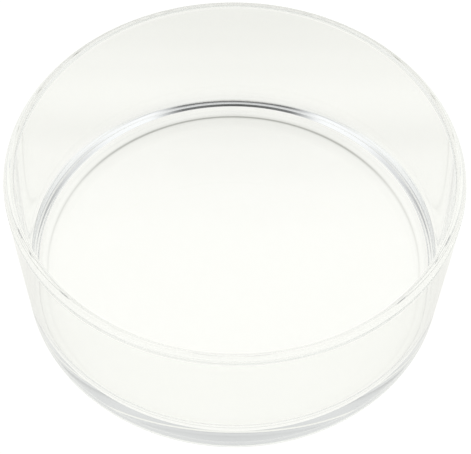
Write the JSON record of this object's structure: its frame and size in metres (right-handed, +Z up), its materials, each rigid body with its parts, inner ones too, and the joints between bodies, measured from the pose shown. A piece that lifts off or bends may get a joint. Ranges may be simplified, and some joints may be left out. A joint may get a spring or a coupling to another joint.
{
  "type": "crystallizing dish",
  "caption": "Low, wide, nearly straight-sided laboratory dish of clear borosilicate glass, open at the top, with a rounded fire-polished rim, a rounded inside corner and a flat floor.",
  "frame": {"origin": "centre of the flat ring the dish stands on, which is the middle of the bottom of the box", "axes": "+Z up along the axis of the dish, from the base to the open rim; X and Y are any two square directions, because the dish is round"},
  "size_m": [0.15, 0.15, 0.0577],
  "materials": {
    "clear_glass": "clear, fire-polished borosilicate glass with a very faint yellow-green tint"
  },
  "bodies": {
    "root": {"glass_dish": "clear_glass"}
  },
  "joints": []
}
